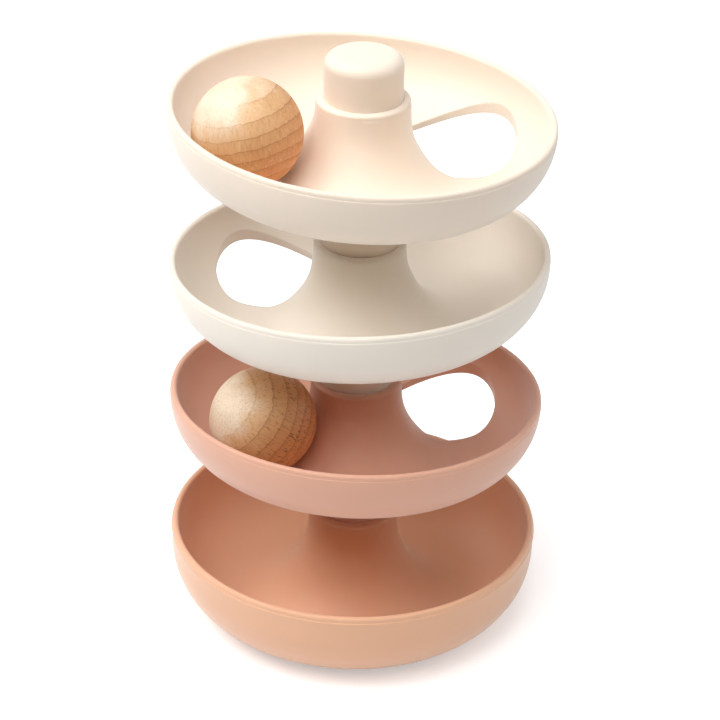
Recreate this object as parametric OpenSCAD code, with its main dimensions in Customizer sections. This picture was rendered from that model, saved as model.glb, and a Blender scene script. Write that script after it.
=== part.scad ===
// Spiral ball tower: a level base tray and three sloping trays stacked on one upright axis,
// a cap on top and two wooden balls that roll round the trays and drop through their holes.
// Millimetres, +Z up, origin at the middle of the base tray's flat foot.

/* [Balls] */
// Diameter of each ball
ball_d = 49.5; // [46:0.5:52]
// Turn of the upper ball round the axis, from +X
ball_upper_turn = 202; // [170:1:210]
// Turn of the lower ball round the axis, from +X
ball_lower_turn = 212; // [180:1:220]
// Place of the upper ball across its trough's spare width, 0 at the collar and 1 at the wall
ball_upper_share = 0.6; // [0.3:0.01:0.7]
// Place of the lower ball across its trough's spare width, 0 at the collar and 1 at the wall
ball_lower_share = 0.31; // [0.3:0.01:0.7]

/* [Trays] */
// Outside diameter of every tray at its rim
tray_d = 174; // [158:1:190]
// Height from one tray's rim to the rim of the next
tray_pitch = 71; // [66:1:90]
// Depth of a sloping tray from its rim to its underside
tray_depth = 34; // [32:0.5:36]
// Thickness of the moulded walls
wall = 3; // [2.6:0.1:3.4]
// Radius of the rounded corner where a sloping tray's wall turns in
corner_r = 30.3; // [28:0.1:32]
// Slope of a sloping tray's bowl, in degrees
slope = 3; // [1:0.5:4]
// Direction in which the lower tray slopes down, from +X
lower_fall = 70; // [0:1:360]
// Direction in which the middle tray slopes down, from +X
middle_fall = 141; // [0:1:360]
// Direction in which the top tray slopes down, from +X
top_fall = -10; // [-180:1:180]

/* [Ball holes] */
// Distance left between a ball hole and the outside of its tray
hole_wall_gap = 6.2; // [5:0.1:7]
// Distance left between a ball hole and the collar
hole_hub_gap = 1.1; // [0.8:0.1:2]
// Turn of the lower tray's hole, from +X
lower_turn = 42; // [0:0.5:360]
// Turn of the middle tray's hole, from +X
middle_turn = 138; // [0:0.5:360]
// Turn of the top tray's hole, from +X
top_turn = 36.5; // [0:0.5:360]

/* [Base] */
// Height of the base tray's rim above the ground
base_h = 44.2; // [42:0.1:48]
// Radius of the rounded corner where the base tray's wall turns in
base_corner_r = 33; // [28:0.5:36]
// Height above the rim where the base tray's oval flare starts, inside the collar
base_flare_rise = 6; // [4:0.5:8]
// Width of the flat floor between the base tray's flare and its rounded corner
base_floor_w = 2.1; // [1:0.1:4]
// Rise of the base tray's collar above its rim
base_collar_rise = 6.9; // [5:0.1:10]

/* [Hub] */
// Outside diameter of the collars
collar_d = 42.6; // [42:0.2:44]
// Rise of a sloping tray's collar above its rim
collar_rise = 5.9; // [5:0.1:10]
// Radius of the rounded edge on a collar's top
collar_round = 1.2; // [0.6:0.1:1.5]
// Diameter of the stems that plug into the collars
stem_d = 35.6; // [34:0.2:36]
// Depth that a stem goes into the collar below it
stem_in = 16; // [12:0.5:20]
// Gap all round a stem in the collar below it
stem_gap = 0.3; // [0.2:0.05:0.4]
// Wall thickness of a hollow stem
stem_wall = 3.2; // [2.4:0.1:4]
// Gap round a stem where it is fixed in its own tray
stem_seat_gap = 0.1; // [0.05:0.05:0.15]
// Height below the rim where a sloping tray's hub turns hollow underneath
hollow_drop = 14.5; // [13:0.5:15]
// Height above the rim where a sloping tray's oval flare starts, inside the collar
flare_rise = 7.5; // [7:0.5:9]
// Width of the flat floor between a sloping tray's flare and its rounded corner
floor_w = 10.9; // [10:0.1:13]

/* [Cap] */
// Height of the cap above its collar
cap_h = 20.8; // [14:0.2:26]
// Radius of the cap's rounded top edge
cap_round = 6; // [3:0.5:8]

/* [Hidden] */
// Gap under a ball at rest
ball_gap = 0.3;
// Distance inside the collar's face where the flare's arc starts
flare_tuck = 1;
// Depth of the hub's boss below the height where the hub turns hollow
boss_lip = 2;
// Length by which a cut runs past the face that it opens
cut_past = 1;
// Smoothness of the turned surfaces
$fn = 96;
rim_r = tray_d / 2;
collar_r = collar_d / 2;
core_r = collar_r - flare_tuck;
boss_drop = hollow_drop + boss_lip;
flare_run = rim_r - corner_r - core_r - floor_w;
base_flare_run = rim_r - base_corner_r - core_r - base_floor_w;
hole_d = rim_r - collar_r - hole_wall_gap - hole_hub_gap;
hole_reach = collar_r + hole_hub_gap + hole_d / 2;
stem_r = stem_d / 2;
socket_r = stem_r + stem_gap;
socket_depth = stem_in + stem_gap;
lower_z = base_h + base_collar_rise + tray_pitch - collar_rise;
middle_z = lower_z + tray_pitch;
top_z = middle_z + tray_pitch;
stem_end = collar_rise - tray_pitch - stem_in;
septum_z = collar_rise - socket_depth - wall;
base_septum_z = base_collar_rise - socket_depth - wall;
ball_drop = tray_depth - wall - ball_d / 2 - ball_gap;
ball_room = rim_r - wall - collar_r - ball_d;

// Part of a half section that lies below a given height
module below(top) {
    intersection() {
        children();
        translate([0, top - 4 * rim_r]) square([2 * rim_r, 4 * rim_r]);
    }
}

// Half section of a solid bowl: straight wall, rounded corner and flat underside
module bowl_area(depth, corner, top) {
    translate([0, corner - depth]) square([rim_r, depth - corner + top]);
    translate([0, -depth]) square([rim_r - corner, depth + top]);
    below(top) translate([rim_r - corner, corner - depth]) circle(corner);
}

// Half section of the oval that shapes a flare, grown by a given thickness
module flare_area(depth, run, rise, grow) {
    translate([core_r + run, rise])
        scale([run + grow, depth - wall + rise + grow])
            circle(1);
}

// Half section of the open trough between the flared hub and the wall
module trough_area(depth, corner, run, rise, top) {
    floor_start = core_r + run;
    floor_end = rim_r - corner;
    translate([floor_end, corner - depth]) square([corner - wall, depth - corner + top]);
    translate([floor_start, wall - depth]) square([floor_end - floor_start, depth - wall + top]);
    below(top) translate([floor_end, corner - depth]) circle(corner - wall);
    below(top)
        intersection() {
            flare_area(depth, run, rise, 0);
            translate([0, -depth]) square([(floor_start + floor_end) / 2, 2 * depth]);
        }
}

// Thin bowl with a rounded rim and a flared hub in the middle
module bowl(depth, corner, run, rise) {
    rotate_extrude() {
        difference() {
            bowl_area(depth, corner, -wall / 2);
            trough_area(depth, corner, run, rise, wall);
        }
        translate([rim_r - wall / 2, -wall / 2]) circle(wall / 2);
    }
}

// Hollow under the hub that keeps the flare as thin as the wall
module hub_hollow() {
    rotate_extrude()
        difference() {
            translate([0, -tray_depth - cut_past])
                square([core_r + flare_run, tray_depth + cut_past - hollow_drop]);
            flare_area(tray_depth, flare_run, flare_rise, wall);
        }
}

// Collar from a given height up to its rounded top
module collar(from, rise) {
    rotate_extrude() {
        translate([0, from]) square([collar_r, rise - collar_round - from]);
        square([collar_r - collar_round, rise]);
        translate([collar_r - collar_round, rise - collar_round]) circle(collar_round);
    }
}

// Socket in the top of a collar
module socket(rise) {
    translate([0, 0, rise - socket_depth])
        cylinder(r = socket_r, h = socket_depth + cut_past);
}

// Tilt about the middle of the rim, down toward the given direction
module tilted(fall) {
    rotate([0, 0, fall]) rotate([0, slope, 0]) rotate([0, 0, -fall]) children();
}

// Sloping tray with its rim's middle at the origin
module sloping_tray(fall, hole_turn) {
    difference() {
        union() {
            tilted(fall)
                difference() {
                    bowl(tray_depth, corner_r, flare_run, flare_rise);
                    hub_hollow();
                }
            collar(-boss_drop, collar_rise);
        }
        socket(collar_rise);
        translate([0, 0, -tray_depth])
            cylinder(r = stem_r + stem_seat_gap, h = tray_depth + septum_z);
        rotate([0, 0, hole_turn])
            translate([hole_reach, 0, -2 * tray_depth]) cylinder(d = hole_d, h = 3 * tray_depth);
    }
}

// Hollow stem under a sloping tray, seated in the tray's hub
module stem() {
    translate([0, 0, stem_end])
        difference() {
            cylinder(r = stem_r, h = septum_z - stem_seat_gap - stem_end);
            translate([0, 0, -cut_past])
                cylinder(r = stem_r - stem_wall, h = septum_z - stem_end + 2 * cut_past);
        }
}

module base_tray() {
    color([0.72, 0.51, 0.39])
        translate([0, 0, base_h])
            difference() {
                union() {
                    bowl(base_h, base_corner_r, base_flare_run, base_flare_rise);
                    collar(-boss_drop, base_collar_rise);
                }
                socket(base_collar_rise);
                translate([0, 0, -base_h - cut_past])
                    cylinder(r = stem_r - stem_wall, h = base_h + base_septum_z + cut_past);
            }
}

module lower_tray() {
    color([0.80, 0.62, 0.58])
        translate([0, 0, lower_z]) sloping_tray(lower_fall, lower_turn);
}

module lower_stem() {
    color([0.80, 0.62, 0.58])
        translate([0, 0, lower_z]) stem();
}

module middle_tray() {
    color([0.83, 0.77, 0.70])
        translate([0, 0, middle_z]) sloping_tray(middle_fall, middle_turn);
}

module middle_stem() {
    color([0.83, 0.77, 0.70])
        translate([0, 0, middle_z]) stem();
}

module top_tray() {
    color([0.93, 0.87, 0.78])
        translate([0, 0, top_z]) sloping_tray(top_fall, top_turn);
}

module top_stem() {
    color([0.93, 0.87, 0.78])
        translate([0, 0, top_z]) stem();
}

module top_cap() {
    color([0.93, 0.87, 0.78])
        translate([0, 0, top_z + collar_rise])
            rotate_extrude() {
                translate([0, -stem_in]) square([stem_r, stem_in + cap_h - cap_round]);
                square([stem_r - cap_round, cap_h]);
                intersection() {
                    translate([stem_r - cap_round, cap_h - cap_round]) circle(cap_round);
                    square([stem_r, cap_h]);
                }
            }
}

// Ball resting in a sloping tray's trough
module ball(rim_z, fall, turn, share) {
    translate([0, 0, rim_z])
        tilted(fall)
            rotate([0, 0, turn])
                translate([collar_r + ball_d / 2 + share * ball_room, 0, -ball_drop])
                    sphere(d = ball_d);
}

module ball_upper() {
    color([0.86, 0.68, 0.47]) ball(top_z, top_fall, ball_upper_turn, ball_upper_share);
}

module ball_lower() {
    color([0.86, 0.68, 0.47]) ball(lower_z, lower_fall, ball_lower_turn, ball_lower_share);
}

base_tray();
lower_tray();
lower_stem();
middle_tray();
middle_stem();
top_tray();
top_stem();
top_cap();
ball_upper();
ball_lower();
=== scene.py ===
# Looks of the spiral ball tower: smooth moulded trays and cap, turned wooden balls, pale floor, soft light.
# Shapes are worked out in millimetres from each tray's own rim and placed in metres in the frame.
import math

import bmesh
import bpy
import numpy as np
from mathutils import Matrix, Vector


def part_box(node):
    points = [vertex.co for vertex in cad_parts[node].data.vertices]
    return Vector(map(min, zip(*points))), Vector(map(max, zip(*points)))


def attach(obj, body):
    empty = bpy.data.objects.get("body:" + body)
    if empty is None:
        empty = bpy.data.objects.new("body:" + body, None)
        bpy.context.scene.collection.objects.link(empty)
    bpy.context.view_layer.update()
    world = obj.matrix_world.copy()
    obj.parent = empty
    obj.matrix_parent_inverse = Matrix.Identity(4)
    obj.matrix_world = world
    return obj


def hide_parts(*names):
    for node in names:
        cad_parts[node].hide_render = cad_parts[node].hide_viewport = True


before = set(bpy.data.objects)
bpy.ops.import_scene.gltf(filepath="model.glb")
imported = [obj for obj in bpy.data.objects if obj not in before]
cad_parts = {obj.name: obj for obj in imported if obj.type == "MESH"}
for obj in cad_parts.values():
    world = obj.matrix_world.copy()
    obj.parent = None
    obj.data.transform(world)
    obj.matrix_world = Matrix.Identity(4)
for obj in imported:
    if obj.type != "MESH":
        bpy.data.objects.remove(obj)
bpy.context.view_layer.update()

MM = 0.001

# Sizes of the moulded trays, in millimetres
RIM_R = 87.0
WALL = 3.0
SLOPE = math.radians(3.0)
PITCH = 71.0
HOLE_R = 29.2
HOLE_REACH = 51.6
TRAY = {"depth": 34.0, "corner": 30.3, "run": 25.5, "rise": 7.5, "collar": 5.9, "step": 0.14}
BASE = {"depth": 44.2, "corner": 33.0, "run": 31.6, "rise": 6.0, "collar": 6.9, "step": 0.4}

# Sizes of the hubs, stems and cap, in millimetres
COLLAR_R = 21.3
COLLAR_ROUND = 1.4
FLARE_ROOT_R = 20.3
BOSS_DROP = 16.5
STEM_R = 17.8
STEM_IN = 16.0
STEM_REST = 0.3
STEM_WALL = 3.2
STEM_EDGE = 0.8
FIT_GAP = 0.03
CAP_H = 20.8
CAP_ROUND = 5.2
CAP_CROWN = 0.2

# Radius of the balls, and the spacing, drift and raggedness of the wood's growth layers, in millimetres
BALL_R = 24.75
LAYER_STEP = 5.6
LAYER_DRIFT = 5.0
LAYER_RAGGED = 1.5

# Bow of the growth layers, per millimetre
LAYER_BOW = 0.006

# Waves of the wood's markings, and of the edge of its painted highlight, per millimetre along the ball's own
# X, Y and Z, and their detail
WAVES = {
    "drift": ((0.035, 0.035, 0.035), 1.0),
    "ragged": ((0.45, 0.45, 0.1), 2.0),
    "highlight edge": ((0.09, 0.09, 0.04), 2.0),
    "fibres": ((1.3, 1.3, 0.14), 3.0),
    "flecks": ((1.1, 1.1, 0.3), 1.0),
    "stain": ((0.07, 0.07, 0.05), 3.0),
    "relief": ((1.6, 1.6, 0.12), 3.0),
}

# Colours of the wood from its own tone to a pale, painted highlight on the side toward the light, over one
# growth layer, of its fibres and of a stain
TONES_TO_HIGHLIGHT = [(0.2, (0.74, 0.32, 0.11)), (0.58, (0.74, 0.395, 0.17)), (0.78, (0.775, 0.485, 0.25)),
         (0.93, (0.88, 0.72, 0.54))]
LAYERS = [(0.0, (1.0, 1.0, 1.0)), (0.5, (0.97, 0.94, 0.91)), (0.88, (0.88, 0.80, 0.72)),
          (0.95, (0.62, 0.48, 0.36)), (1.0, (1.0, 1.0, 1.0))]
FIBRES = [(0.3, (0.84, 0.78, 0.72)), (0.5, (0.97, 0.96, 0.95)), (0.7, (1.0, 1.0, 1.0))]
STAIN = (0.78, 0.58, 0.40)
# Sway of the edge of the painted highlight
HIGHLIGHT_EDGE_SWAY = 0.35
FLECK_SOFTNESS = 0.06

# Height above the rim where a flare ends inside its collar, and softness of the joins, in millimetres
FLARE_TOP = 2.5
HUB_BLEND = 1.6
CAP_BLEND = 1.0

# Fine step round the outside of each rim, in millimetres
STEP_DROP = 2.5
STEP_RISE = 0.3
STEP_FADE = 8.0
STEP_SINK = 0.04
STEP_ROOT = 0.5

# Spacing of the points that the moulded surfaces are built from, and room left round them, in millimetres
GRID = 1.2
MARGIN = 3.0

# Points round each turned piece and each bore
AROUND = 240

BASE_Z = BASE["depth"]
LOWER_Z = BASE_Z + BASE["collar"] + PITCH - TRAY["collar"]
MIDDLE_Z = LOWER_Z + PITCH
TOP_Z = MIDDLE_Z + PITCH
BORE_R = STEM_R - STEM_WALL
SOCKET_R = STEM_R + FIT_GAP
SOCKET_DEPTH = STEM_IN + STEM_REST
STEM_TOP = TRAY["collar"] - SOCKET_DEPTH - WALL
STEM_END = TRAY["collar"] - PITCH - STEM_IN

# Rim height, fall direction and hole direction of each sloping tray, in millimetres and degrees
SLOPING = {
    "lower": {"rim_z": LOWER_Z, "fall": 70.0, "hole": 42.0},
    "middle": {"rim_z": MIDDLE_Z, "fall": 141.0, "hole": 138.0},
    "top": {"rim_z": TOP_Z, "fall": -10.0, "hole": 36.5},
}


# Distances, negative inside the solid


def smooth_union(a, b, blend):
    """Distance to two solids joined with a soft fillet."""
    share = np.clip(0.5 + 0.5 * (b - a) / blend, 0.0, 1.0)
    return b + (a - b) * share - blend * share * (1.0 - share)


def smooth_cut(solid, tool, blend):
    """Distance to a solid with a tool taken out of it and the edge rounded."""
    return -smooth_union(-solid, tool, blend)


def drum(r, z, radius, low, high, edge):
    """Distance to an upright drum with rounded edges."""
    across = np.abs(r) - radius + edge
    along = np.abs(z - (low + high) / 2) - (high - low) / 2 + edge
    outside = np.hypot(np.maximum(across, 0.0), np.maximum(along, 0.0))
    return outside + np.minimum(np.maximum(across, along), 0.0) - edge


def oval(r, z, form, grow):
    """Distance to the oval that shapes a flare, grown by a thickness."""
    a = form["run"] + grow
    b = form["depth"] - WALL + form["rise"] + grow
    x = (r - FLARE_ROOT_R - form["run"]) / a
    y = (z - form["rise"]) / b
    size = np.maximum(np.hypot(x, y), 1e-6)
    return (size - 1.0) * size / np.maximum(np.hypot(x / a, y / b), 1e-6)


def bowl(r, z, form, solid_foot):
    """Distance to a bowl: round rim, wall, rounded corner and floor of one thickness, and a flared hub."""
    half = WALL / 2
    depth = form["depth"]
    turn_r = RIM_R - form["corner"]
    turn_z = form["corner"] - depth
    flare_r = FLARE_ROOT_R + form["run"]
    side = np.hypot(r - RIM_R + half, z - np.clip(z, turn_z, -half))
    floor = np.hypot(r - np.clip(r, flare_r, turn_r), z - half + depth)
    turn = np.abs(np.hypot(r - turn_r, z - turn_z) - form["corner"] + half)
    turn = np.where((r > turn_r) & (z < turn_z), turn, side)
    shell = np.minimum(np.minimum(side, floor), turn) - half
    under = -depth - z if solid_foot else oval(r, z, form, WALL)
    flare = np.maximum(np.maximum(-oval(r, z, form, 0.0), under), z - FLARE_TOP)
    return np.where(r < flare_r, flare, shell)


def tilt(fall):
    """Rotation that tips a tray down toward a direction."""
    turn = Matrix.Rotation(math.radians(fall), 3, "Z")
    return turn @ Matrix.Rotation(SLOPE, 3, "Y") @ turn.transposed()


def sloping_tray(fall):
    """Distance function of a sloping tray about the middle of its rim, before its bores are cut."""
    tip = np.array(tilt(fall))

    def distance(p):
        r = np.hypot(p[:, 0], p[:, 1])
        z = p[:, 2]
        q = p @ tip
        dish = bowl(np.hypot(q[:, 0], q[:, 1]), q[:, 2], TRAY, False)
        hub = drum(r, z, COLLAR_R, -BOSS_DROP, TRAY["collar"], COLLAR_ROUND)
        return smooth_union(dish, hub, HUB_BLEND)

    return distance


def base_tray(p):
    """Distance to the level base tray about the middle of its rim, before its bores are cut."""
    r = np.hypot(p[:, 0], p[:, 1])
    z = p[:, 2]
    hub = drum(r, z, COLLAR_R, -BOSS_DROP, BASE["collar"], COLLAR_ROUND)
    return smooth_union(bowl(r, z, BASE, True), hub, HUB_BLEND)


def cap_plug(p):
    """Distance to the cap about the middle of its collar's top: a plug with a soft, slightly crowned top."""
    r = np.hypot(p[:, 0], p[:, 1])
    crowned = p[:, 2] + CAP_CROWN * (r / STEM_R) ** 2
    plug = drum(r, crowned, STEM_R, -3 * STEM_IN, CAP_H, CAP_ROUND)
    return smooth_cut(plug, p[:, 2] + STEM_IN, CAP_BLEND)


# Meshes


def slope_of(distance, points):
    """Gradient of a distance function at the given points."""
    reach = 0.02
    columns = []
    for axis in range(3):
        step = np.zeros(3)
        step[axis] = reach
        columns.append((distance(points + step) - distance(points - step)) / (2 * reach))
    return np.stack(columns, axis=1)


def pull_onto(distance, points, rounds):
    """Moves points along the gradient onto the zero surface."""
    least = 0.25
    for _ in range(rounds):
        grad = slope_of(distance, points)
        size = np.maximum((grad * grad).sum(axis=1), least)
        points = points - grad * (distance(points) / size)[:, None]
    return points


def crossings(values):
    """Cells that the zero surface passes through, and the mean crossing point in each, in grid steps."""
    cells = tuple(n - 1 for n in values.shape)
    total = np.zeros(cells + (3,))
    count = np.zeros(cells)
    for axis in range(3):
        others = [a for a in range(3) if a != axis]
        for first in (0, 1):
            for second in (0, 1):
                start = [0, 0, 0]
                start[others[0]] = first
                start[others[1]] = second
                end = list(start)
                end[axis] = 1
                a = values[tuple(slice(s, s + n) for s, n in zip(start, cells))]
                b = values[tuple(slice(s, s + n) for s, n in zip(end, cells))]
                cut = (a < 0) != (b < 0)
                share = np.where(cut, a / np.where(cut, a - b, 1.0), 0.0)
                for d in range(3):
                    total[..., d] += np.where(cut, share if d == axis else start[d], 0.0)
                count += cut
    used = count > 0
    return used, total[used] / count[used][:, None] + np.argwhere(used)


def quads_of(values, number):
    """Four-sided faces round every grid edge that the surface crosses, facing outward."""
    faces = []
    inner = values < 0
    for axis in range(3):
        b = (axis + 1) % 3
        c = (axis + 2) % 3
        low = [slice(1, -1)] * 3
        high = [slice(1, -1)] * 3
        low[axis] = slice(0, -1)
        high[axis] = slice(1, None)
        place = np.argwhere(inner[tuple(low)] != inner[tuple(high)])
        place[:, b] += 1
        place[:, c] += 1
        corners = []
        for back_b, back_c in ((1, 1), (0, 1), (0, 0), (1, 0)):
            cell = place.copy()
            cell[:, b] -= back_b
            cell[:, c] -= back_c
            corners.append(number[cell[:, 0], cell[:, 1], cell[:, 2]])
        quad = np.stack(corners, axis=1)
        outward = inner[place[:, 0], place[:, 1], place[:, 2]]
        faces.append(np.where(outward[:, None], quad, quad[:, ::-1]))
    return np.concatenate(faces)


def even_out(distance, points, faces, rounds):
    """Slides points along the surface toward the middle of their neighbours."""
    ends = np.concatenate([faces[:, [i, (i + 1) % 4]] for i in range(4)])
    a = np.concatenate([ends[:, 0], ends[:, 1]])
    b = np.concatenate([ends[:, 1], ends[:, 0]])
    near = np.bincount(a, minlength=len(points))
    least = 0.5
    part_way = 0.5
    for _ in range(rounds):
        mean = np.stack([np.bincount(a, points[b, d], len(points)) / near for d in range(3)], axis=1)
        grad = slope_of(distance, points)
        grad /= np.maximum(np.linalg.norm(grad, axis=1), least)[:, None]
        move = mean - points
        move -= grad * (move * grad).sum(axis=1)[:, None]
        points = pull_onto(distance, points + part_way * move, 1)
    return points


def mesh_object(name, points, faces, normals=None):
    """Smooth-shaded mesh object in the shared frame, from points in millimetres."""
    mesh = bpy.data.meshes.new(name)
    mesh.from_pydata((points * MM).tolist(), [], faces)
    mesh.shade_smooth()
    if normals is not None:
        mesh.normals_split_custom_set_from_vertices(normals.tolist())
    piece = bpy.data.objects.new(name, mesh)
    bpy.context.scene.collection.objects.link(piece)
    return piece


def moulded(name, distance, reach, low, high, rim_z):
    """Closed smooth mesh object of a distance function, placed with its own zero at a height on the axis."""
    start = np.array((-reach, -reach, low))
    axes = [np.arange(a, b + GRID, GRID) for a, b in ((-reach, reach), (-reach, reach), (low, high))]
    grid = np.stack(np.meshgrid(*axes, indexing="ij"), axis=-1)
    values = distance(grid.reshape(-1, 3)).reshape(grid.shape[:3])
    used, points = crossings(values)
    number = np.full(used.shape, -1)
    number[used] = np.arange(len(points))
    faces = quads_of(values, number)
    points = pull_onto(distance, start + GRID * points, 3)
    points = even_out(distance, points, faces, 4)
    points = pull_onto(distance, points, 2)
    normals = slope_of(distance, points)
    normals /= np.maximum(np.linalg.norm(normals, axis=1), 1e-6)[:, None]
    return mesh_object(name, points + np.array((0, 0, rim_z)), faces.tolist(), normals)


def bore_tool(bores, rim_z):
    """Closed drums that cut the given upright bores, ringed so that the walls they leave shade evenly."""
    ring_gap = 0.9
    angles = np.arange(AROUND) * 2 * math.pi / AROUND
    points = []
    faces = []
    for x, y, radius, low, high in bores:
        start = len(points) * AROUND
        heights = np.linspace(low, high, math.ceil((high - low) / ring_gap) + 1)
        for z in heights:
            ring = (x + radius * np.cos(angles), y + radius * np.sin(angles), np.full(AROUND, z + rim_z))
            points.append(np.stack(ring, axis=1))
        index = start + np.arange(len(heights) * AROUND).reshape(len(heights), AROUND)
        ahead = np.roll(index, -1, axis=1)
        faces += np.stack([index[:-1], ahead[:-1], ahead[1:], index[1:]], axis=-1).reshape(-1, 4).tolist()
        faces += [index[0, ::-1].tolist(), index[-1].tolist()]
    return mesh_object("bore_tool", np.concatenate(points), faces)


def read_mesh(items, field, width, kind):
    """One value of every vertex, corner or face of a mesh, as an array."""
    values = np.empty(len(items) * width, dtype=kind)
    items.foreach_get(field, values)
    return values.reshape(-1, width) if width > 1 else values


def unit(vectors):
    """Vectors brought to length one."""
    return vectors / np.maximum(np.linalg.norm(vectors, axis=1), 1e-9)[:, None]


def bore_out(piece, distance, bores, rim_z):
    """Cuts upright round bores out of a moulded piece, each with a soft upper edge and a crisp lower one."""
    tool = bore_tool(bores, rim_z)
    cut = piece.modifiers.new("bores", "BOOLEAN")
    cut.operation = "DIFFERENCE"
    cut.solver = "EXACT"
    cut.object = tool
    mesh = bpy.data.meshes.new_from_object(piece.evaluated_get(bpy.context.evaluated_depsgraph_get()))
    piece.modifiers.remove(cut)
    uncut = piece.data
    piece.data = mesh
    tool_mesh = tool.data
    bpy.data.objects.remove(tool)
    for spent in (uncut, tool_mesh):
        bpy.data.meshes.remove(spent)
    near = 0.05
    points = read_mesh(mesh.vertices, "co", 3, np.float32) / MM - np.array((0, 0, rim_z))
    corner = read_mesh(mesh.loops, "vertex_index", 1, np.int32)
    first = read_mesh(mesh.polygons, "loop_start", 1, np.int32)
    count = read_mesh(mesh.polygons, "loop_total", 1, np.int32)
    skin = unit(slope_of(distance, points))
    on_skin = np.abs(distance(points)) < near
    normals = skin[corner]

    def corners_of_faces(chosen):
        """Corners of the faces that have only chosen vertices."""
        return np.repeat(np.logical_and.reduceat(chosen[corner], first), count)

    for x, y, radius, low, high in bores:
        inward = np.array((x, y, 0)) - points
        inward[:, 2] = 0
        reach = np.linalg.norm(inward, axis=1)
        inward = unit(inward)
        height = points[:, 2]
        on_wall = (np.abs(reach - radius) < near) & (height > low - near) & (height < high + near)
        lip = on_wall & on_skin & (skin[:, 2] > 0)
        inward[lip] = unit(inward[lip] + skin[lip])
        walls = corners_of_faces(on_wall) | lip[corner]
        normals[walls] = inward[corner[walls]]
        for end, facing in ((low, 1.0), (high, -1.0)):
            flat = corners_of_faces((reach < radius + near) & (np.abs(height - end) < near))
            normals[flat] = (0, 0, facing)
    mesh.shade_smooth()
    mesh.normals_split_custom_set(normals.tolist())


def lathe(name, loop, tip, rim_z):
    """Mesh object of a closed half section turned about the axis, tipped and lifted into place."""
    angles = np.arange(AROUND) * 2 * math.pi / AROUND
    loop = np.array(loop)
    count = len(loop)
    points = np.zeros((AROUND, count, 3))
    points[..., 0] = np.cos(angles)[:, None] * loop[None, :, 0]
    points[..., 1] = np.sin(angles)[:, None] * loop[None, :, 0]
    points[..., 2] = loop[None, :, 1]
    placed = points.reshape(-1, 3) @ np.array(tip).T + np.array((0, 0, rim_z))
    index = np.arange(AROUND * count).reshape(AROUND, count)
    ahead = np.roll(index, -1, axis=0)
    faces = np.stack([index, ahead, np.roll(ahead, -1, axis=1), np.roll(index, -1, axis=1)], axis=-1)
    return mesh_object(name, placed, faces.reshape(-1, 4).tolist())


def outer_r(z, form):
    """Outside radius of a bowl's wall at a height below its rim."""
    drop = max(form["corner"] - form["depth"] - z, 0.0)
    return RIM_R - form["corner"] + math.sqrt(form["corner"] ** 2 - drop ** 2)


def rim_step(form):
    """Half section of the fine step below a rim, which fades into the wall further down."""
    top_r = outer_r(-STEP_DROP, form)
    loop = [(top_r - STEP_ROOT, -STEP_DROP), (top_r, -STEP_DROP)]
    steps = 12
    for k in range(steps + 1):
        share = k / steps
        z = -STEP_DROP - STEP_RISE - share * STEP_FADE
        proud = form["step"] * (1 - share) ** 2 - STEP_SINK * share ** 2
        loop.append((outer_r(z, form) + proud, z))
    loop.append((outer_r(z, form) - STEP_ROOT, z))
    return loop[::-1]


def stem_tube():
    """Half section of a hollow stem with softened ends."""
    top = STEM_TOP - FIT_GAP
    steps = 4
    loop = []
    corners = ((BORE_R, STEM_END, 1, 1), (STEM_R, STEM_END, -1, 1),
               (STEM_R, top, -1, -1), (BORE_R, top, 1, -1))
    for k, (r, z, inward, upward) in enumerate(corners):
        for step in range(steps + 1):
            a = math.pi / 2 * (step / steps + k + 2)
            loop.append((r + STEM_EDGE * (inward + math.cos(a)), z + STEM_EDGE * (upward + math.sin(a))))
    return loop


def round_ball(name, centre, turn):
    """Evenly meshed ball of six square patches, with its own turn for the grain."""
    patch = 56
    weld = 1e-6
    steps = np.tan(np.linspace(-math.pi / 4, math.pi / 4, patch + 1))
    u, v = np.meshgrid(steps, steps, indexing="ij")
    index = np.arange((patch + 1) ** 2).reshape(patch + 1, patch + 1)
    quad = np.stack([index[:-1, :-1], index[1:, :-1], index[1:, 1:], index[:-1, 1:]], axis=-1).reshape(-1, 4)
    points = []
    faces = []
    for axis in range(3):
        for side in (1.0, -1.0):
            square = np.zeros((patch + 1, patch + 1, 3))
            square[..., axis] = side
            square[..., (axis + 1) % 3] = u * side
            square[..., (axis + 2) % 3] = v
            faces.append(quad + len(points) * (patch + 1) ** 2)
            points.append(square.reshape(-1, 3))
    points = np.concatenate(points)
    points *= BALL_R / np.linalg.norm(points, axis=1)[:, None]
    ball = mesh_object(name, points, np.concatenate(faces).tolist())
    work = bmesh.new()
    work.from_mesh(ball.data)
    bmesh.ops.remove_doubles(work, verts=work.verts, dist=weld)
    work.to_mesh(ball.data)
    work.free()
    ball.matrix_world = Matrix.Translation(centre) @ turn.to_matrix().to_4x4()
    return ball


# Materials


def material(name):
    """New material with its nodes, links and Principled shader."""
    made = bpy.data.materials.new(name)
    made.use_nodes = True
    tree = made.node_tree
    return made, tree.nodes, tree.links, tree.nodes["Principled BSDF"]


def node(nodes, kind, inputs=(), **settings):
    """New node with the given settings and input values."""
    made = nodes.new(kind)
    for key, value in settings.items():
        setattr(made, key, value)
    for key, value in dict(inputs).items():
        made.inputs[key].default_value = value
    return made


def ramp(nodes, stops):
    """Colour ramp with the given places and colours."""
    made = nodes.new("ShaderNodeValToRGB")
    elements = made.color_ramp.elements
    while len(elements) < len(stops):
        elements.new(1.0)
    for element, (place, colour) in zip(elements, stops):
        element.position = place
        element.color = (*colour, 1.0)
    return made


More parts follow.
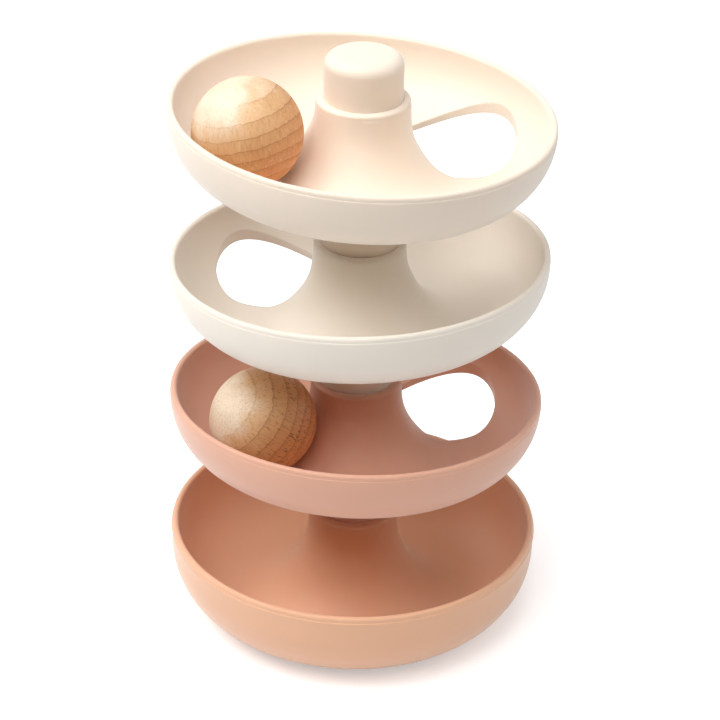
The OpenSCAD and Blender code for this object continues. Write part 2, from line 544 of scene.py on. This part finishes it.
def plastic(name, colour):
    """Matte moulded plastic: faint cloudy colour, soft uneven gloss and a very fine grain."""
    made, nodes, links, shader = material(name)
    cloud_shift = 0.01
    pale = tuple(channel + cloud_shift for channel in colour)
    where = nodes.new("ShaderNodeTexCoord")
    cloud = node(nodes, "ShaderNodeTexNoise", {"Scale": 22.0, "Detail": 4.0, "Roughness": 0.55})
    links.new(where.outputs["Object"], cloud.inputs["Vector"])
    tint = ramp(nodes, [(0.3, colour), (0.7, pale)])
    links.new(cloud.outputs["Fac"], tint.inputs["Fac"])
    links.new(tint.outputs["Color"], shader.inputs["Base Color"])
    gloss_range = {"From Min": 0.3, "From Max": 0.7, "To Min": 0.42, "To Max": 0.5}
    gloss = node(nodes, "ShaderNodeMapRange", gloss_range)
    links.new(cloud.outputs["Fac"], gloss.inputs["Value"])
    links.new(gloss.outputs["Result"], shader.inputs["Roughness"])
    grain = node(nodes, "ShaderNodeTexNoise", {"Scale": 1400.0, "Detail": 2.0, "Roughness": 0.5})
    links.new(where.outputs["Object"], grain.inputs["Vector"])
    bump = node(nodes, "ShaderNodeBump", {"Strength": 0.08, "Distance": 0.0002})
    links.new(grain.outputs["Fac"], bump.inputs["Height"])
    links.new(bump.outputs["Normal"], shader.inputs["Normal"])
    shader.inputs["Specular IOR Level"].default_value = 0.35
    shader.inputs["Sheen Weight"].default_value = 0.45
    shader.inputs["Sheen Roughness"].default_value = 0.45
    return made


def beech(name, look, highlight_way):
    """Turned beech: growth layers across the ball's own Z, fibres and flecks along it, and a painted
    highlight that makes the side toward the light paler.
    """
    made, nodes, links, shader = material(name)
    where = nodes.new("ShaderNodeTexCoord")
    moved = node(nodes, "ShaderNodeVectorMath", operation="ADD")
    moved.inputs[1].default_value = (look["seed"], look["seed"] * 0.7, look["seed"] * 1.3)
    links.new(where.outputs["Object"], moved.inputs[0])

    def noise(marking):
        """Noise of one of the wood's markings."""
        stretch, detail = WAVES[marking]
        scaled = node(nodes, "ShaderNodeVectorMath", operation="MULTIPLY")
        scaled.inputs[1].default_value = tuple(f / MM for f in stretch)
        links.new(moved.outputs["Vector"], scaled.inputs[0])
        made_noise = node(nodes, "ShaderNodeTexNoise", {"Scale": 1.0, "Detail": detail, "Roughness": 0.55})
        links.new(scaled.outputs["Vector"], made_noise.inputs["Vector"])
        return made_noise.outputs["Fac"]

    def math_node(operation, first, second, third=None):
        """Math node with linked or plain inputs."""
        made_node = node(nodes, "ShaderNodeMath", operation=operation)
        for slot, value in enumerate((first, second, third)):
            if isinstance(value, (int, float)):
                made_node.inputs[slot].default_value = value
            elif value is not None:
                links.new(value, made_node.inputs[slot])
        return made_node.outputs["Value"]

    def mix(kind, share, first, second):
        """Colour mix with a linked or plain share."""
        made_node = node(nodes, "ShaderNodeMix", data_type="RGBA", blend_type=kind)
        sockets = [made_node.inputs[place] for place in (0, 6, 7)]
        for socket, value in zip(sockets, (share, first, second)):
            if isinstance(value, (int, float)):
                socket.default_value = value
            elif isinstance(value, tuple):
                socket.default_value = (*value, 1.0)
            else:
                links.new(value, socket)
        return made_node.outputs[2]

    parts = nodes.new("ShaderNodeSeparateXYZ")
    links.new(where.outputs["Object"], parts.inputs["Vector"])
    height = math_node("MULTIPLY", parts.outputs["Z"], 1 / MM)
    bow = math_node("MULTIPLY", parts.outputs["X"], parts.outputs["X"])
    layers = math_node("MULTIPLY_ADD", bow, LAYER_BOW / MM ** 2, height)
    layers = math_node("MULTIPLY_ADD", noise("drift"), LAYER_DRIFT, layers)
    layers = math_node("MULTIPLY_ADD", noise("ragged"), LAYER_RAGGED, layers)
    phase = math_node("FRACT", math_node("DIVIDE", layers, LAYER_STEP), 0.0)
    # Painted highlight: the wood's colour turns paler toward the lit side
    along = node(nodes, "ShaderNodeVectorMath", operation="DOT_PRODUCT")
    links.new(where.outputs["Object"], along.inputs[0])
    along.inputs[1].default_value = tuple(highlight_way)
    side = math_node("MULTIPLY_ADD", along.outputs["Value"], 0.5 / (BALL_R * MM), 0.5)
    sway = math_node("SUBTRACT", noise("highlight edge"), 0.5)
    side = math_node("MULTIPLY_ADD", sway, HIGHLIGHT_EDGE_SWAY, side)
    tone_to_highlight = ramp(nodes, TONES_TO_HIGHLIGHT)
    links.new(side, tone_to_highlight.inputs["Fac"])
    rings = ramp(nodes, LAYERS)
    links.new(phase, rings.inputs["Fac"])
    # Painted highlight washes out the growth layers on the lit side
    highlight_wash_range = {"From Min": 0.7, "From Max": 0.95, "To Min": 0.9, "To Max": 0.12}
    highlight_wash = node(nodes, "ShaderNodeMapRange", highlight_wash_range)
    links.new(side, highlight_wash.inputs["Value"])
    wood = mix("MULTIPLY", highlight_wash.outputs["Result"], tone_to_highlight.outputs["Color"], rings.outputs["Color"])
    fibres = ramp(nodes, FIBRES)
    links.new(noise("fibres"), fibres.inputs["Fac"])
    wood = mix("MULTIPLY", 1.0, wood, fibres.outputs["Color"])
    full = look["fleck_edge"] + FLECK_SOFTNESS
    fleck = node(nodes, "ShaderNodeMapRange", {"From Min": look["fleck_edge"], "From Max": full})
    links.new(noise("flecks"), fleck.inputs["Value"])
    # Painted highlight hides the flecks on the lit side
    highlight_hides_flecks_range = {"From Min": 0.5, "From Max": 0.85, "To Min": 1.0, "To Max": 0.25}
    highlight_hides_flecks = node(nodes, "ShaderNodeMapRange", highlight_hides_flecks_range)
    links.new(side, highlight_hides_flecks.inputs["Value"])
    share = math_node("MULTIPLY", fleck.outputs["Result"], look["flecks"])
    share = math_node("MULTIPLY", share, highlight_hides_flecks.outputs["Result"])
    wood = mix("MIX", share, wood, look["fleck"])
    patch = node(nodes, "ShaderNodeMapRange", {"From Min": 0.5, "From Max": 0.66, "To Max": look["stain"]})
    links.new(noise("stain"), patch.inputs["Value"])
    wood = mix("MULTIPLY", patch.outputs["Result"], wood, STAIN)
    links.new(wood, shader.inputs["Base Color"])
    rough = node(nodes, "ShaderNodeMapRange", {"To Min": 0.42, "To Max": 0.58})
    links.new(phase, rough.inputs["Value"])
    links.new(rough.outputs["Result"], shader.inputs["Roughness"])
    bump = node(nodes, "ShaderNodeBump", {"Strength": 0.25, "Distance": 0.0002})
    links.new(noise("relief"), bump.inputs["Height"])
    links.new(bump.outputs["Normal"], shader.inputs["Normal"])
    shader.inputs["Specular IOR Level"].default_value = 0.6
    return made


slots = {
    "base": "terracotta_plastic",
    "lower": "rose_plastic",
    "middle": "sand_plastic",
    "top": "cream_plastic",
}
plastics = {
    "base": plastic(slots["base"], (0.83, 0.47, 0.29)),
    "lower": plastic(slots["lower"], (0.755, 0.405, 0.28)),
    "middle": plastic(slots["middle"], (0.885, 0.805, 0.70)),
    "top": plastic(slots["top"], (0.885, 0.752, 0.62)),
}


def settle(piece, body, made, slot, *nodes):
    """Gives a piece its material and body, and hides the nodes it stands for. The slot argument is not used.
    """
    piece.data.materials.append(made)
    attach(piece, body)
    if nodes:
        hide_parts(*nodes)


# Trays and stems, with the fine step round each rim
LEVEL = Matrix.Identity(3)
edge_r = RIM_R + MARGIN
top_edge = BASE["collar"] + MARGIN
socket_floor = BASE["collar"] - SOCKET_DEPTH
shell = moulded("base_shell", base_tray, edge_r, -BASE["depth"] - MARGIN, top_edge, BASE_Z)
foot_bore = (0, 0, BORE_R, -BASE["depth"] - MARGIN, socket_floor - WALL)
bore_out(shell, base_tray, [(0, 0, SOCKET_R, socket_floor, top_edge), foot_bore], BASE_Z)
settle(shell, "base", plastics["base"], slots["base"], "base_tray")
step = lathe("base_rim_step", rim_step(BASE), LEVEL, BASE_Z)
settle(step, "base", plastics["base"], slots["base"])
for body, tray in SLOPING.items():
    form = sloping_tray(tray["fall"])
    low = -TRAY["depth"] - 3 * MARGIN
    shell = moulded(body + "_shell", form, edge_r, low, top_edge, tray["rim_z"])
    hole_x = HOLE_REACH * math.cos(math.radians(tray["hole"]))
    hole_y = HOLE_REACH * math.sin(math.radians(tray["hole"]))
    bores = [(0, 0, SOCKET_R, STEM_TOP + WALL, top_edge), (0, 0, SOCKET_R, low, STEM_TOP),
             (hole_x, hole_y, HOLE_R, low, top_edge)]
    bore_out(shell, form, bores, tray["rim_z"])
    settle(shell, body, plastics[body], slots[body], body + "_tray")
    stem = lathe(body + "_stem_tube", stem_tube(), LEVEL, tray["rim_z"])
    settle(stem, body, plastics[body], slots[body], body + "_stem")
    step = lathe(body + "_rim_step", rim_step(TRAY), tilt(tray["fall"]), tray["rim_z"])
    settle(step, body, plastics[body], slots[body])

# Cap
cap_z = TOP_Z + TRAY["collar"]
cap = moulded("cap_plug", cap_plug, STEM_R + MARGIN, -STEM_IN - MARGIN, CAP_H + MARGIN, cap_z)
settle(cap, "cap", plastics["top"], slots["top"], "top_cap")

# Balls, each with the direction across its growth layers and of its pale side, which is a painted highlight
# toward the light, and its flecks and stain
BALLS = {
    "upper_ball": {
        "node": "ball_upper", "across": (-0.15, 0.10, 0.98), "pale": (-0.55, -0.15, 0.82), "seed": 3.1,
        "fleck": (0.86, 0.62, 0.36), "fleck_edge": 0.64, "flecks": 0.4, "stain": 0.2,
    },
    "lower_ball": {
        "node": "ball_lower", "across": (-0.75, -0.23, 0.61), "pale": (-0.85, -0.30, 0.43), "seed": 7.7,
        "fleck": (0.24, 0.11, 0.045), "fleck_edge": 0.61, "flecks": 0.8, "stain": 0.12,
    },
}
for name, look in BALLS.items():
    low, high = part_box(look["node"])
    turn = Vector(look["across"]).to_track_quat("Z", "Y")
    # Direction of the painted highlight, in the ball's own frame
    highlight_way = turn.inverted() @ Vector(look["pale"]).normalized()
    wood = beech("beech_" + name, look, highlight_way)
    ball = round_ball(name, (low + high) / 2, turn)
    settle(ball, look["node"], wood, "beech", look["node"])


def background_rays(nodes, links):
    """Output that is 1 for the rays that show the plain background: camera, glossy and transmission rays."""
    seen = nodes.new("ShaderNodeLightPath")
    total = seen.outputs["Is Camera Ray"]
    for kind in ("Is Glossy Ray", "Is Transmission Ray"):
        larger = node(nodes, "ShaderNodeMath", operation="MAXIMUM")
        links.new(total, larger.inputs[0])
        links.new(seen.outputs[kind], larger.inputs[1])
        total = larger.outputs["Value"]
    return total


# Pale floor just under the base, lifted to white for the camera and still taking the shadow, in metres
FLOOR = 6.0
FLOOR_DROP = 0.0003
FLOOR_LIFT = 0.42
floor_corners = [(-FLOOR, -FLOOR, 0), (FLOOR, -FLOOR, 0), (FLOOR, FLOOR, 0), (-FLOOR, FLOOR, 0)]
floor_mesh = bpy.data.meshes.new("floor")
floor_mesh.from_pydata(floor_corners, [], [[0, 1, 2, 3]])
floor = bpy.data.objects.new("floor", floor_mesh)
bpy.context.scene.collection.objects.link(floor)
floor.location.z = -FLOOR_DROP
paint, nodes, links, shader = material("floor_white")
shader.inputs["Base Color"].default_value = (0.91, 0.92, 0.93, 1)
shader.inputs["Roughness"].default_value = 0.9
shader.inputs["Emission Color"].default_value = (1, 1, 1, 1)
lift = node(nodes, "ShaderNodeMath", operation="MULTIPLY")
lift.inputs[1].default_value = FLOOR_LIFT
links.new(background_rays(nodes, links), lift.inputs[0])
links.new(lift.outputs["Value"], shader.inputs["Emission Strength"])
floor.data.materials.append(paint)

# Soft surroundings as on a white sweep, bright behind and dim in front, and plain white to the camera
DIM_FRONT = 0.02
BRIGHT_BACK = 0.15
world = bpy.data.worlds.new("studio")
bpy.context.scene.world = world
world.use_nodes = True
nodes = world.node_tree.nodes
links = world.node_tree.links
ambient = nodes["Background"]
ambient.inputs["Color"].default_value = (1, 1, 1, 1)
toward = nodes.new("ShaderNodeTexCoord")
parts = nodes.new("ShaderNodeSeparateXYZ")
links.new(toward.outputs["Generated"], parts.inputs["Vector"])
sweep = node(nodes, "ShaderNodeMapRange", {"To Min": DIM_FRONT, "To Max": BRIGHT_BACK})
links.new(parts.outputs["Y"], sweep.inputs["Value"])
links.new(sweep.outputs["Result"], ambient.inputs["Strength"])
white = node(nodes, "ShaderNodeBackground", {"Color": (1, 1, 1, 1), "Strength": 1.0})
choice = nodes.new("ShaderNodeMixShader")
links.new(background_rays(nodes, links), choice.inputs["Fac"])
links.new(ambient.outputs["Background"], choice.inputs[1])
links.new(white.outputs["Background"], choice.inputs[2])
links.new(choice.outputs["Shader"], nodes["World Output"].inputs["Surface"])


def lamp(name, spot, target, size, power):
    """Square soft light at a spot, facing a target."""
    light = bpy.data.lights.new(name, "AREA")
    light.size = size
    light.energy = power
    holder = bpy.data.objects.new(name, light)
    bpy.context.scene.collection.objects.link(holder)
    holder.location = spot
    holder.rotation_euler = (Vector(target) - Vector(spot)).to_track_quat("-Z", "Y").to_euler()


lamp("left_high", (-0.82, -0.25, 1.15), (0, 0, 0.15), size=0.8, power=9.0)
lamp("left_back", (-1.0, 0.7, 0.9), (0, 0, 0.15), size=1.0, power=4.8)
lamp("overhead", (-0.1, -0.1, 1.6), (0, 0, 0.1), size=1.2, power=10.2)
lamp("front_top", (-0.2, -1.0, 1.6), (0, 0, 0.1), size=1.0, power=11.6)
lamp("right_soft", (1.15, 0.1, 0.7), (0, 0, 0.15), size=1.2, power=3.2)
lamp("right_high", (0.85, -0.1, 1.15), (0, 0, 0.15), size=0.8, power=1.0)

# Camera at the photograph's angle, with its spot in millimetres
IMAGE_PX = 720
SENSOR = 36.0
camera_spot = Vector((1.324, -1078.996, 743.212))
focal_px = 2658.66
yaw = math.radians(0.00769)
pitch = math.radians(29.596)
roll = math.radians(-1.4776)
ahead = Vector((math.sin(yaw) * math.cos(pitch), math.cos(yaw) * math.cos(pitch), -math.sin(pitch)))
right = Vector((math.cos(yaw), -math.sin(yaw), 0))
down = ahead.cross(right)
right_rolled = math.cos(roll) * right + math.sin(roll) * down
down_rolled = -math.sin(roll) * right + math.cos(roll) * down
camera_data = bpy.data.cameras.new("camera")
camera_data.sensor_width = SENSOR
camera_data.lens = focal_px / IMAGE_PX * SENSOR
camera = bpy.data.objects.new("camera", camera_data)
bpy.context.scene.collection.objects.link(camera)
facing = Matrix((right_rolled, -down_rolled, -ahead)).transposed()
camera.matrix_world = Matrix.Translation(camera_spot * MM) @ facing.to_4x4()
bpy.context.scene.camera = camera
bpy.context.scene.view_settings.view_transform = "Standard"
